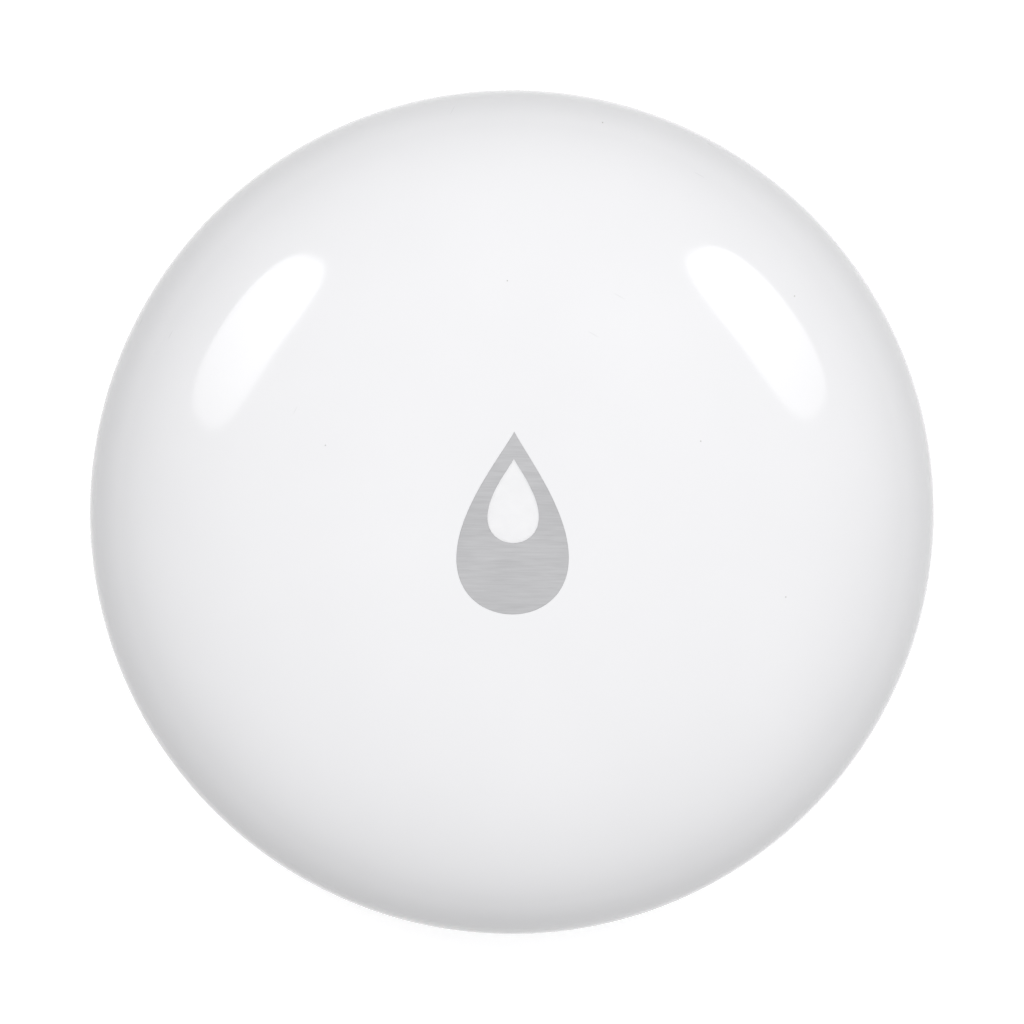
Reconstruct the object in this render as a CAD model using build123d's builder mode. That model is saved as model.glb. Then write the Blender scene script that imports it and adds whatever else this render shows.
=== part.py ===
from build123d import *
import os
from math import cos, radians, sin

# Water leak sensor: a pebble-shaped puck that stands on three low feet over the floor it watches.
# Lengths are millimetres, Z is up, and the origin is on the floor under the middle of the puck.
# +Y points to the tip of the drop on the key.

# Outer form of the closed casing
body_radius = 25.0
body_height = 15.0
rim_height = 5.0
dome_exponent = 2.4
dome_point_count = 17
under_round_width = 3.5
foot_height = 0.6
wall = 1.5
shadow_gap = 0.3
seam_drop = 0.8

# Shared allowances
overrun = 1.0
weld = 0.2
fit_clearance = 0.02
slide_clearance = 0.04

# Drop figure on the crown: the key is the outer drop, the light guide is the inner one
drop_sharpness = 1.2
drop_point_count = 19
key_half_width = 3.35
key_half_height = 5.36
key_centre_y = -0.68
lens_half_width = 1.54
lens_half_height = 2.49
lens_centre_y = 0.65
key_flange_reach = 0.8
key_flange_thickness = 0.6
key_flange_gap = 0.4
key_travel = 0.3

# Soft seal under the key and the ring of the shell that carries it
membrane_thickness = 0.4
membrane_ring_width = 1.3
membrane_play = 1.0
nub_radius = 1.2
nub_gap = 0.05

# Joint between the two halves of the casing
tongue_thickness = 1.2
tongue_clearance = 0.5
tongue_lead_height = 0.5
bead_height = 0.6
bead_catch = 0.35
bead_gap = 0.15
lip_height = 0.4
lip_depth = 0.35
lip_gap = 0.15
shell_seal_height = 0.7
shell_seal_clearance = 0.05

# Lower casing
floor_thickness = 1.5
foot_radius = 0.9
foot_count = 3
foot_edge_radius = 0.25
collar_thickness = 0.95
collar_headroom = 0.2
mark_radius = 0.5
mark_depth = 0.15
mark_length = 1.6
lock_angle = 90.0
release_angle = 28.0

# Twist-off battery cover
base_land_width = 2.5
cover_plate_thickness = 1.2
cover_rim_width = 1.4
neck_thickness = 2.4
neck_clearance = 0.15
cover_edge_radius = 0.25
slot_width = 2.0
slot_depth = 1.2
slot_end_wall = 1.5
slot_boss_gap = 1.5
slot_roof = 1.1

# Bayonet lugs, which climb a steep helix
thread_lead = 24.0
lug_count = 3
lug_span = 10.0
lug_height = 0.7
lug_reach = 1.0
lug_lift = 0.45
slot_clearance = 0.12

# O-ring round the neck of the cover
ring_section = 0.8
ring_squeeze_gap = 0.03
ring_floor_gap = 0.02
ring_side_gap = 0.05
seal_zone_step = 0.45
seal_land = 0.25
seal_step_gap = 0.1

# Two probes through the cover
probe_count = 2
probe_radius = 1.0
probe_head_radius = 1.95
probe_head_height = 0.8
probe_head_dome = 0.35
probe_proud = 0.3
probe_boss_radius = 2.8
probe_boss_height = 0.6
probe_tip_length = 0.5
probe_hole_clearance = 0.05
probe_recess_clearance = 0.2
cross_length = 1.9
cross_width = 0.45
cross_depth = 0.4
probe_seal_section = 0.48
probe_seal_room = 0.02
nut_width = 4.0
nut_height = 1.0
nut_gap = 0.09

# Coin cell
cell_height_share = 0.35
cell_gap = 0.05
cell_sheet = 0.3
gasket_width = 0.8
cell_cap_rise = 0.25
cell_lip = 0.35

# Ring that centres the cell
holder_clearance = 0.15
holder_thickness = 1.25
holder_probe_gap = 0.4
holder_nut_gap = 0.2
holder_window = 4.0
holder_peg_radius = 0.6
hook_wall = 0.5
hook_catch = 0.4
hook_toe = 0.35
hook_width = 4.0

# Board
board_edge_gap = 1.5
board_thickness = 1.0
contact_room = 0.75
board_screw_inset = 4.7
board_screw_count = 3
board_screw_radius = 0.85
board_screw_length = 4.0
board_screw_head_radius = 1.6
board_screw_head_height = 0.6
board_screw_pilot_room = 0.3
board_hole_clearance = 0.25
boss_radius = 2.0
boss_root_depth = 0.1

# Spring contacts of the cell and of the probes
spring_thickness = 0.2
spring_bend = 0.35
spring_gap = 0.03
spring_width = 3.0
negative_reach_shares = (-0.787, -0.281, 0.393, 0.528)
spring_tip_rise = 0.22
positive_foot_length = 2.3
positive_knee = 0.9
positive_tip_drop = 1.1
positive_tip_splay = 0.45
leaf_width = 2.4
leaf_reach = 3.0
leaf_foot_length = 2.6
leaf_gap = 0.05
leaf_tip_length = 0.9
leaf_tip_rise = 0.3

# Push switch under the key
switch_width = 4.5
switch_height = 1.5
switch_centre_y = -3.9
switch_edge = 0.2
plunger_radius = 1.0
plunger_stand = 0.7
plunger_depth = 0.8
plunger_edge = 0.15
terminal_length = 0.7
terminal_width = 0.5
terminal_thickness = 0.2
terminal_spacing = 2.4

# Small parts on the board
radio_width = 6.0
radio_height = 0.9
radio_x = 7.5
radio_y = 5.0
chip_edge = 0.12
pin_mark_radius = 0.35
pin_mark_depth = 0.08
pin_mark_inset = 1.0
flash_length = 5.0
flash_width = 4.0
flash_height = 1.5
flash_x = -8.5
flash_y = 5.0
crystal_length = 3.2
crystal_width = 2.5
crystal_height = 0.7
crystal_gap = 1.35
crystal_edge = 0.4
led_length = 1.6
led_width = 0.8
led_height = 0.6
led_dome = 0.2
chip_length = 1.0
chip_width = 0.5
capacitor_height = 0.5
resistor_height = 0.35
antenna_length = 14.0
antenna_depth = 3.0
antenna_turns = 5
antenna_width = 0.7
antenna_thickness = 0.05
antenna_margin = 2.4
capacitor_place_shares = (
    (-0.68, -0.43),
    (-0.68, 0.01),
    (-0.68, 0.45),
    (0.68, -0.43),
    (0.68, 0.01),
    (0.68, 0.45),
    (-1.79, 0.79),
    (-0.71, 1.06),
)
memory_resistor_place_shares = (
    (0.89, -0.51),
    (0.89, -0.11),
    (0.24, -1.49),
)
key_resistor_place_shares = (
    (0.99, -0.40),
    (0.99, 0.00),
    (0.99, 0.40),
)

# Levels, from the floor up
collar_low = foot_height + cover_plate_thickness
floor_top = foot_height + floor_thickness
lug_centre_low = collar_low + lug_lift + lug_height / 2
lug_rise = thread_lead * lug_span / 360
lug_top = lug_centre_low + lug_rise + lug_height / 2
neck_step = lug_top + slot_clearance
seal_bore_low = neck_step + seal_step_gap
groove_low = neck_step + seal_land
groove_high = groove_low + ring_section + 2 * ring_side_gap
neck_top = groove_high + seal_land
collar_high = neck_top + collar_headroom
seam_high = rim_height - seam_drop
seam_low = seam_high - shadow_gap
key_flange_high = body_height - wall - key_flange_gap
key_flange_low = key_flange_high - key_flange_thickness
membrane_low = key_flange_low - membrane_thickness
cell_low = collar_low + slot_roof + cell_gap
cell_high = cell_low + (membrane_low - cell_low) * cell_height_share
board_low = cell_high + contact_room
board_high = board_low + board_thickness
plunger_top = board_high + switch_height + plunger_stand
probe_head_low = foot_height - probe_proud
probe_head_high = probe_head_low + probe_head_height
probe_seal_high = probe_head_high + probe_seal_section + probe_seal_room
nut_low = collar_low + probe_boss_height
nut_high = nut_low + nut_height
probe_tip = nut_high + probe_tip_length

# Radii, from the outer form inwards: casing and cover
under_radius = body_radius - under_round_width
cavity_radius = body_radius - wall
cavity_rise = body_height - rim_height - wall
tongue_radius = cavity_radius - tongue_clearance
tongue_bore_radius = tongue_radius - tongue_thickness
cover_radius = under_radius - base_land_width
foot_circle_radius = (under_radius + cover_radius + neck_clearance) / 2
neck_radius = cover_radius - cover_rim_width
neck_bore_radius = neck_radius - neck_thickness
bore_radius = neck_radius + neck_clearance
seal_neck_radius = neck_radius - seal_zone_step
seal_bore_radius = bore_radius - seal_zone_step
ring_outer_radius = seal_bore_radius - ring_squeeze_gap
groove_radius = ring_outer_radius - ring_section - ring_floor_gap
lug_radius = neck_radius + lug_reach
lug_slot_radius = lug_radius + neck_clearance
collar_radius = lug_slot_radius + collar_thickness

# Radii of the probes, which stand inside the neck, and of the cell between them
nut_corner_radius = nut_width / 2 / cos(radians(30))
probe_circle_radius = neck_bore_radius - nut_corner_radius - nut_gap
slot_boss_radius = probe_circle_radius - probe_boss_radius - slot_boss_gap
slot_length = 2 * (slot_boss_radius - slot_end_wall)
holder_radius = probe_circle_radius - probe_radius - holder_probe_gap
holder_bore_radius = holder_radius - holder_thickness
cell_radius = holder_bore_radius - holder_clearance
cell_cap_radius = cell_radius - cell_sheet - gasket_width

# Radii and places of the board and of the key's seal
board_radius = tongue_bore_radius - board_edge_gap
board_screw_circle_radius = board_radius - board_screw_inset
membrane_bore_radius = key_half_height - key_centre_y + key_flange_reach + membrane_play
membrane_radius = membrane_bore_radius + membrane_ring_width
crystal_y = radio_y + radio_width / 2 + crystal_gap + crystal_width / 2


def dome_height(radius, form_radius, form_rise):
    """Height of a superellipse dome of the given radius and rise, at a distance from the axis."""
    share = 1 - (radius / form_radius) ** dome_exponent
    return rim_height + form_rise * share ** (1 / dome_exponent)


def dome_curve(form_radius, form_rise):
    """Draw a dome's half section from its rim to its crown: a superellipse, upright at the rim."""
    points = []
    for step in range(dome_point_count):
        angle = radians(90 * step / (dome_point_count - 1))
        across = max(cos(angle), 0) ** (2 / dome_exponent)
        up = sin(angle) ** (2 / dome_exponent)
        points.append((form_radius * across, rim_height + form_rise * up))
    points[-1] = (0, rim_height + form_rise)
    Spline(*points, tangents=((0, 1), (-1, 0)))


def band(inner, outer, low, high, mode=Mode.ADD):
    """Draw the half section of a ring between two radii and two heights."""
    with Locations((inner, low)):
        Rectangle(outer - inner, high - low, align=(Align.MIN, Align.MIN), mode=mode)


def drop_face(half_width, half_height, centre_y):
    """Draw a water drop: width follows sin(t) * sin(t/2)**sharpness while height follows cos(t)."""
    crest = 2 * (1 + drop_sharpness) / (2 + drop_sharpness) - 1
    crest_share = (1 - crest**2) ** 0.5 * ((1 + crest) / 2) ** (drop_sharpness / 2)
    points = []
    for step in range(drop_point_count):
        angle = radians(180 * (1 - step / (drop_point_count - 1)))
        width_share = max(sin(angle), 0) * sin(angle / 2) ** drop_sharpness / crest_share
        points.append((half_width * width_share, centre_y + half_height * cos(angle)))
    points[0] = (0, centre_y - half_height)
    points[-1] = (0, centre_y + half_height)
    last_leg = Vector(*points[-1]) - Vector(*points[-2])
    with BuildLine() as outline:
        Spline(*points, tangents=((1, 0), last_leg.normalized()))
        mirror(about=Plane.YZ)
    make_face(outline.edges())


def helical_bar(inner, outer, height, centre_low, span):
    """Bar of a helical rib that starts at azimuth zero and climbs round the axis by its span."""
    with BuildPart() as bar:
        with BuildLine() as path:
            Helix(thread_lead, thread_lead * span / 360, (inner + outer) / 2, center=(0, 0, centre_low))
        with BuildSketch(Plane(origin=path.line @ 0, x_dir=(1, 0, 0), z_dir=path.line % 0)):
            Rectangle(outer - inner, height)
        sweep(path=path.line, is_frenet=True)
    return bar.part


def spring_strip(plane, points, width):
    """Bent strip of spring sheet, centred on its plane, along a line of points."""
    with BuildPart() as strip:
        with BuildSketch(plane):
            with BuildLine() as path:
                FilletPolyline(*points, radius=spring_bend)
            trace(line_width=spring_thickness)
        extrude(amount=width / 2, both=True)
    return strip.part


def places_round(centre_x, centre_y, side, place_shares):
    """Places on the board, given as shares of the side of the part that they surround."""
    return [(centre_x + side * x, centre_y + side * y, board_high) for x, y in place_shares]


def chip_group(places, height):
    """Small ceramic chips that stand on the board at the given places."""
    with BuildPart() as group:
        with Locations(*places):
            Box(chip_length, chip_width, height, align=(Align.CENTER, Align.CENTER, Align.MIN))
    return group


os.makedirs("parts", exist_ok=True)

# Outer form of the closed casing, which shell, base, key and light guide are cut from
with BuildPart() as pebble:
    with BuildSketch(Plane.XZ) as pebble_section:
        with BuildLine() as pebble_outline:
            Line((0, foot_height), (under_radius, foot_height))
            EllipticalCenterArc(
                (under_radius, rim_height),
                body_radius - under_radius,
                rim_height - foot_height,
                start_angle=270,
                arc_size=90,
            )
            dome_curve(body_radius, body_height - rim_height)
            Line((0, body_height), (0, foot_height))
        make_face()
    revolve(axis=Axis.Z)

# Upper casing: a domed shell with screw bosses, a ring for the soft seal and a lip that snaps
# over the bead of the lower casing
boss_root = dome_height(board_screw_circle_radius + boss_radius, body_radius, body_height - rim_height)
ring_root = dome_height(membrane_radius, cavity_radius, cavity_rise) + wall / 2
lip_low = seam_low + shell_seal_height + lip_gap
with BuildPart() as top_shell:
    add(pebble.part)
    with BuildSketch(Plane.XZ) as shell_foot_section:
        band(0, body_radius + overrun, 0, seam_high)
    revolve(axis=Axis.Z, mode=Mode.SUBTRACT)
    with BuildSketch(Plane.XZ) as shell_cavity_section:
        with BuildLine() as shell_cavity_outline:
            Line((0, 0), (cavity_radius, 0))
            Line((cavity_radius, 0), (cavity_radius, rim_height))
            dome_curve(cavity_radius, cavity_rise)
            Line((0, rim_height + cavity_rise), (0, 0))
        make_face()
    revolve(axis=Axis.Z, mode=Mode.SUBTRACT)
    with BuildSketch(Plane.XZ) as shell_ring_section:
        band(cavity_radius - lip_depth, cavity_radius + weld, lip_low, lip_low + lip_height)
        band(membrane_bore_radius, membrane_radius, key_flange_low, ring_root)
    revolve(axis=Axis.Z)
    with BuildSketch(Plane.XY.offset(board_high)) as boss_sketch:
        with PolarLocations(board_screw_circle_radius, board_screw_count, start_angle=90):
            Circle(boss_radius)
    extrude(amount=boss_root - boss_root_depth - board_high)
    with BuildSketch(Plane.XY.offset(board_high)) as pilot_sketch:
        with PolarLocations(board_screw_circle_radius, board_screw_count, start_angle=90):
            Circle(board_screw_radius + fit_clearance)
    extrude(amount=board_screw_length - board_thickness + board_screw_pilot_room, mode=Mode.SUBTRACT)
    with BuildSketch(Plane.XY.offset(rim_height)) as key_opening_sketch:
        drop_face(key_half_width + slide_clearance, key_half_height + slide_clearance, key_centre_y)
    extrude(amount=body_height, mode=Mode.SUBTRACT)
top_shell.part.label = "top_shell"
export_step(top_shell.part, "parts/top_shell.step")

# Drop-shaped key: flush with the dome, held in by a flange under the shell
with BuildPart() as drop_key:
    with BuildSketch(Plane.XY.offset(key_flange_low)) as key_flange_sketch:
        drop_face(key_half_width + key_flange_reach, key_half_height + key_flange_reach, key_centre_y)
    extrude(amount=key_flange_thickness)
    with BuildSketch(Plane.XY.offset(key_flange_low)) as key_sketch:
        drop_face(key_half_width, key_half_height, key_centre_y)
    extrude(amount=body_height - key_flange_low + overrun)
    add(pebble.part, mode=Mode.INTERSECT)
    with BuildSketch(Plane.XY.offset(key_flange_low)) as lens_opening_sketch:
        drop_face(lens_half_width + fit_clearance, lens_half_height + fit_clearance, lens_centre_y)
    extrude(amount=body_height, mode=Mode.SUBTRACT)
drop_key.part.label = "drop_key"
export_step(drop_key.part, "parts/drop_key.step")

# Light guide: the inner drop, fixed in the key
with BuildPart() as drop_lens:
    with BuildSketch(Plane.XY.offset(key_flange_low)) as lens_sketch:
        drop_face(lens_half_width, lens_half_height, lens_centre_y)
    extrude(amount=body_height - key_flange_low + overrun)
    add(pebble.part, mode=Mode.INTERSECT)
drop_lens.part.label = "drop_lens"
export_step(drop_lens.part, "parts/drop_lens.step")

# Soft seal: a disc bonded to the shell's ring, with a nub that reaches down to the switch
with BuildPart() as key_membrane:
    with BuildSketch(Plane.XY.offset(membrane_low)) as membrane_sketch:
        Circle(membrane_radius)
    extrude(amount=membrane_thickness)
    with BuildSketch(Plane.XY.offset(plunger_top + nub_gap)) as nub_sketch:
        with Locations((0, switch_centre_y)):
            Circle(nub_radius)
    extrude(amount=membrane_low - plunger_top - nub_gap)
key_membrane.part.label = "key_membrane"
export_step(key_membrane.part, "parts/key_membrane.step")

# Lower casing: a tub with a tongue that rises inside the shell, and a collar round the
# battery bay with three helical slots for the cover's lugs
slot_height = lug_height + 2 * slot_clearance
exit_angle = 360 * (lug_centre_low - collar_low + slot_height) / thread_lead
stop_angle = 360 * slot_clearance / thread_lead
lug_slot = helical_bar(
    bore_radius - weld,
    lug_slot_radius,
    slot_height,
    lug_centre_low - thread_lead * exit_angle / 360,
    exit_angle + lug_span + stop_angle,
)
bead_low = lip_low + lip_height + bead_gap
tongue_top = bead_low + bead_height + tongue_lead_height
with BuildPart() as base_housing:
    add(pebble.part)
    with BuildSketch(Plane.XZ) as base_cut_section:
        band(0, body_radius + overrun, seam_low, body_height + overrun)
        band(0, tongue_bore_radius, floor_top, body_height)
    revolve(axis=Axis.Z, mode=Mode.SUBTRACT)
    with BuildSketch(Plane.XZ) as base_wall_section:
        band(tongue_bore_radius, tongue_radius, seam_low - weld, tongue_top)
        band(bore_radius - weld, collar_radius, floor_top - weld, collar_high)
        with BuildLine() as bead_outline:
            Polyline(
                (tongue_radius - weld, bead_low),
                (tongue_radius + bead_catch, bead_low),
                (tongue_radius + bead_catch, bead_low + bead_height / 3),
                (tongue_radius - weld, bead_low + bead_height),
                close=True,
            )
        make_face()
    revolve(axis=Axis.Z)
    with BuildSketch(Plane.XZ) as base_bore_section:
        band(0, cover_radius + neck_clearance, 0, collar_low)
        band(0, bore_radius, 0, seal_bore_low)
        band(0, seal_bore_radius, 0, collar_high + overrun)
    revolve(axis=Axis.Z, mode=Mode.SUBTRACT)
    with BuildSketch(Plane.XZ) as seal_land_section:
        band(seal_bore_radius, bore_radius + weld, seal_bore_low, collar_high)
    revolve(axis=Axis.Z)
    with PolarLocations(0, lug_count, start_angle=lock_angle - exit_angle):
        add(lug_slot, mode=Mode.SUBTRACT)
    with BuildSketch(Plane.XY) as foot_sketch:
        with PolarLocations(foot_circle_radius, foot_count, start_angle=-lock_angle):
            Circle(foot_radius)
    extrude(amount=foot_height + weld)
    fillet(base_housing.faces().sort_by(Axis.Z)[:foot_count].edges(), radius=foot_edge_radius)
    with BuildSketch(Plane.XY.offset(foot_height)) as base_mark_sketch:
        with PolarLocations(foot_circle_radius, 1, start_angle=lock_angle):
            Circle(mark_radius)
        with PolarLocations(foot_circle_radius, 1, start_angle=lock_angle - release_angle):
            Circle(mark_radius)
            Circle(mark_radius / 2, mode=Mode.SUBTRACT)
    extrude(amount=mark_depth, mode=Mode.SUBTRACT)
base_housing.part.label = "base_housing"
export_step(base_housing.part, "parts/base_housing.step")

# Rubber ring that closes the seam, on the shoulder outside the tongue
with BuildPart() as shell_seal:
    with BuildSketch(Plane.XZ) as shell_seal_section:
        band(
            tongue_radius + shell_seal_clearance,
            cavity_radius - shell_seal_clearance,
            seam_low,
            seam_low + shell_seal_height,
        )
    revolve(axis=Axis.Z)
shell_seal.part.label = "shell_seal"
export_step(shell_seal.part, "parts/shell_seal.step")

# Circuit board: a disc with holes for its screws and for the pegs of the cell ring
holder_peg_circle_radius = (holder_bore_radius + holder_radius) / 2
with BuildPart() as circuit_board:
    with BuildSketch(Plane.XY.offset(board_low)) as board_sketch:
        Circle(board_radius)
        with PolarLocations(board_screw_circle_radius, board_screw_count, start_angle=90):
            Circle(board_screw_radius + board_hole_clearance, mode=Mode.SUBTRACT)
        with PolarLocations(holder_peg_circle_radius, board_screw_count, start_angle=90):
            Circle(holder_peg_radius + slide_clearance, mode=Mode.SUBTRACT)
    extrude(amount=board_thickness)
circuit_board.part.label = "circuit_board"
export_step(circuit_board.part, "parts/circuit_board.step")

# Three screws that clamp the board against the bosses of the upper casing
with BuildPart() as board_screws:
    with BuildSketch(Plane.XY.offset(board_low - board_screw_head_height)) as screw_head_sketch:
        with PolarLocations(board_screw_circle_radius, board_screw_count, start_angle=90):
            Circle(board_screw_head_radius)
    extrude(amount=board_screw_head_height)
    fillet(board_screws.edges().group_by(Axis.Z)[0], radius=board_screw_head_height / 3)
    with BuildSketch(Plane.XY.offset(board_low)) as screw_shank_sketch:
        with PolarLocations(board_screw_circle_radius, board_screw_count, start_angle=90):
            Circle(board_screw_radius)
    extrude(amount=board_screw_length)
    chamfer(board_screws.edges().group_by(Axis.Z)[-1], length=board_screw_radius / 3)
    with BuildSketch(Plane.XY.offset(board_low - board_screw_head_height)) as screw_cross_sketch:
        with PolarLocations(board_screw_circle_radius, board_screw_count, start_angle=90):
            Rectangle(board_screw_head_radius, board_screw_head_radius / 4)
            Rectangle(board_screw_head_radius / 4, board_screw_head_radius)
    extrude(amount=board_screw_head_height / 2, mode=Mode.SUBTRACT)
board_screws.part.label = "board_screws"
export_step(board_screws.part, "parts/board_screws.step")

# Push switch: a square body with a round well, and its plunger
with BuildPart() as switch_body:
    with BuildSketch(Plane.XY.offset(board_high)) as switch_sketch:
        with Locations((0, switch_centre_y)):
            Rectangle(switch_width, switch_width)
    extrude(amount=switch_height)
    chamfer(switch_body.edges().filter_by(Axis.Z), length=switch_edge)
    with BuildSketch(Plane.XY.offset(board_high + switch_height)) as switch_well_sketch:
        with Locations((0, switch_centre_y)):
            Circle(plunger_radius + slide_clearance)
    extrude(amount=-(plunger_depth + key_travel + slide_clearance), mode=Mode.SUBTRACT)
switch_body.part.label = "switch_body"
export_step(switch_body.part, "parts/switch_body.step")

with BuildPart() as switch_plunger:
    with BuildSketch(Plane.XY.offset(board_high + switch_height - plunger_depth)) as plunger_sketch:
        with Locations((0, switch_centre_y)):
            Circle(plunger_radius)
    extrude(amount=plunger_depth + plunger_stand)
    chamfer(switch_plunger.edges().group_by(Axis.Z)[-1], length=plunger_edge)
switch_plunger.part.label = "switch_plunger"
export_step(switch_plunger.part, "parts/switch_plunger.step")

# Four solder terminals beside the switch
with BuildPart() as switch_terminals:
    with Locations((0, switch_centre_y, board_high)):
        with GridLocations(switch_width + terminal_length, terminal_spacing, 2, 2):
            Box(
                terminal_length,
                terminal_width,
                terminal_thickness,
                align=(Align.CENTER, Align.CENTER, Align.MIN),
            )
switch_terminals.part.label = "switch_terminals"
export_step(switch_terminals.part, "parts/switch_terminals.step")

# Radio chip and memory chip: moulded packages with a dimple at their first corner
radio_mark_offset = radio_width / 2 - pin_mark_inset
with BuildPart() as radio_chip:
    with BuildSketch(Plane.XY.offset(board_high)) as radio_sketch:
        with Locations((radio_x, radio_y)):
            Rectangle(radio_width, radio_width)
    extrude(amount=radio_height)
    chamfer(radio_chip.edges().group_by(Axis.Z)[-1], length=chip_edge)
    with BuildSketch(Plane.XY.offset(board_high + radio_height)) as radio_mark_sketch:
        with Locations((radio_x - radio_mark_offset, radio_y + radio_mark_offset)):
            Circle(pin_mark_radius)
    extrude(amount=-pin_mark_depth, mode=Mode.SUBTRACT)
radio_chip.part.label = "radio_chip"
export_step(radio_chip.part, "parts/radio_chip.step")

flash_mark_x = flash_x - flash_length / 2 + pin_mark_inset
flash_mark_y = flash_y + flash_width / 2 - pin_mark_inset
with BuildPart() as flash_chip:
    with BuildSketch(Plane.XY.offset(board_high)) as flash_sketch:
        with Locations((flash_x, flash_y)):
            Rectangle(flash_length, flash_width)
    extrude(amount=flash_height)
    chamfer(flash_chip.edges().group_by(Axis.Z)[-1], length=chip_edge)
    with BuildSketch(Plane.XY.offset(board_high + flash_height)) as flash_mark_sketch:
        with Locations((flash_mark_x, flash_mark_y)):
            Circle(pin_mark_radius)
    extrude(amount=-pin_mark_depth, mode=Mode.SUBTRACT)
flash_chip.part.label = "flash_chip"
export_step(flash_chip.part, "parts/flash_chip.step")

# Crystal can that clocks the radio
with BuildPart() as crystal:
    with BuildSketch(Plane.XY.offset(board_high)) as crystal_sketch:
        with Locations((radio_x, crystal_y)):
            RectangleRounded(crystal_length, crystal_width, crystal_edge)
    extrude(amount=crystal_height)
crystal.part.label = "crystal"
export_step(crystal.part, "parts/crystal.step")

# Light under the inner drop
with BuildPart() as status_led:
    with BuildSketch(Plane.XY.offset(board_high)) as led_sketch:
        with Locations((0, lens_centre_y)):
            Rectangle(led_length, led_width)
    extrude(amount=led_height - led_dome)
    with BuildSketch(Plane.XY.offset(board_high + led_height - led_dome)) as led_dome_sketch:
        with Locations((0, lens_centre_y)):
            Rectangle(led_length - 2 * led_dome, led_width)
    extrude(amount=led_dome)
status_led.part.label = "status_led"
export_step(status_led.part, "parts/status_led.step")

# Ceramic capacitors and resistors round the chips
capacitor_places = places_round(radio_x, radio_y, radio_width, capacitor_place_shares)
chip_capacitors = chip_group(capacitor_places, capacitor_height)
chip_capacitors.part.label = "chip_capacitors"
export_step(chip_capacitors.part, "parts/chip_capacitors.step")

resistor_places = places_round(flash_x, flash_y, flash_length, memory_resistor_place_shares)
resistor_places += places_round(0, switch_centre_y, switch_width, key_resistor_place_shares)
chip_resistors = chip_group(resistor_places, resistor_height)
chip_resistors.part.label = "chip_resistors"
export_step(chip_resistors.part, "parts/chip_resistors.step")

# Antenna: a copper meander at the edge of the board
antenna_low_y = antenna_margin - board_radius
antenna_pitch = antenna_length / (2 * antenna_turns)
antenna_points = []
for turn in range(2 * antenna_turns + 1):
    column_x = turn * antenna_pitch - antenna_length / 2
    ends = (antenna_low_y, antenna_low_y + antenna_depth)
    if turn % 2:
        ends = ends[::-1]
    antenna_points += [(column_x, ends[0]), (column_x, ends[1])]
with BuildPart() as antenna_trace:
    with BuildSketch(Plane.XY.offset(board_high)) as antenna_sketch:
        with BuildLine() as antenna_path:
            Polyline(*antenna_points)
        trace(line_width=antenna_width)
    extrude(amount=antenna_thickness)
antenna_trace.part.label = "antenna_trace"
export_step(antenna_trace.part, "parts/antenna_trace.step")

# Cell ring: centres the coin cell, holds it with three hooks and is pegged to the board
holder_low = nut_high + holder_nut_gap
hook_low = cell_low - cell_gap - hook_toe
with BuildPart() as holder_hooks:
    with BuildSketch(Plane.XZ) as hook_section:
        band(holder_bore_radius, holder_bore_radius + hook_wall, hook_low, holder_low + weld)
        band(holder_bore_radius - hook_catch, holder_bore_radius, hook_low, cell_low - cell_gap)
    revolve(axis=Axis.Z)
    with BuildSketch(Plane.XY) as hook_sector_sketch:
        with PolarLocations(holder_bore_radius, board_screw_count, start_angle=90):
            Rectangle(holder_radius - cell_cap_radius, hook_width)
    extrude(amount=board_low, mode=Mode.INTERSECT)

with BuildPart() as battery_holder:
    with BuildSketch(Plane.XZ) as holder_section:
        band(holder_bore_radius, holder_radius, holder_low, board_low)
    revolve(axis=Axis.Z)
    with BuildSketch(Plane.XY.offset(holder_low)) as holder_window_sketch:
        with PolarLocations(holder_radius, 1, start_angle=-lock_angle):
            Rectangle(2 * holder_thickness + overrun, holder_window)
    extrude(amount=board_low - holder_low, mode=Mode.SUBTRACT)
    add(holder_hooks.part)
    with BuildSketch(Plane.XY.offset(board_low)) as peg_sketch:
        with PolarLocations(holder_peg_circle_radius, board_screw_count, start_angle=90):
            Circle(holder_peg_radius)
    extrude(amount=board_thickness)
battery_holder.part.label = "battery_holder"
export_step(battery_holder.part, "parts/battery_holder.step")

# Coin cell: its can is the plus side and faces the cover, its cap faces the board
crimp_high = cell_high - cell_cap_rise
crimp_radius = cell_cap_radius + cell_lip
with BuildPart() as cell_can:
    with BuildSketch(Plane.XZ) as can_section:
        band(0, cell_radius, cell_low, cell_low + cell_sheet)
        band(cell_radius - cell_sheet, cell_radius, cell_low, crimp_high)
        band(crimp_radius, cell_radius, crimp_high - cell_sheet, crimp_high)
    revolve(axis=Axis.Z)
    fillet(cell_can.edges().group_by(Axis.Z)[0], radius=cell_sheet)
cell_can.part.label = "cell_can"
export_step(cell_can.part, "parts/cell_can.step")

with BuildPart() as cell_gasket:
    with BuildSketch(Plane.XZ) as gasket_section:
        band(cell_cap_radius, cell_radius - cell_sheet, cell_low + cell_sheet, crimp_high - cell_sheet)
        band(cell_cap_radius, crimp_radius, crimp_high - cell_sheet, crimp_high)
    revolve(axis=Axis.Z)
cell_gasket.part.label = "cell_gasket"
export_step(cell_gasket.part, "parts/cell_gasket.step")

with BuildPart() as cell_cap:
    with BuildSketch(Plane.XZ) as cap_section:
        band(0, cell_cap_radius, cell_high - cell_sheet, cell_high)
        band(cell_cap_radius - cell_sheet, cell_cap_radius, cell_low + 2 * cell_sheet, cell_high)
    revolve(axis=Axis.Z)
cell_cap.part.label = "cell_cap"
export_step(cell_cap.part, "parts/cell_cap.step")

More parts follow.
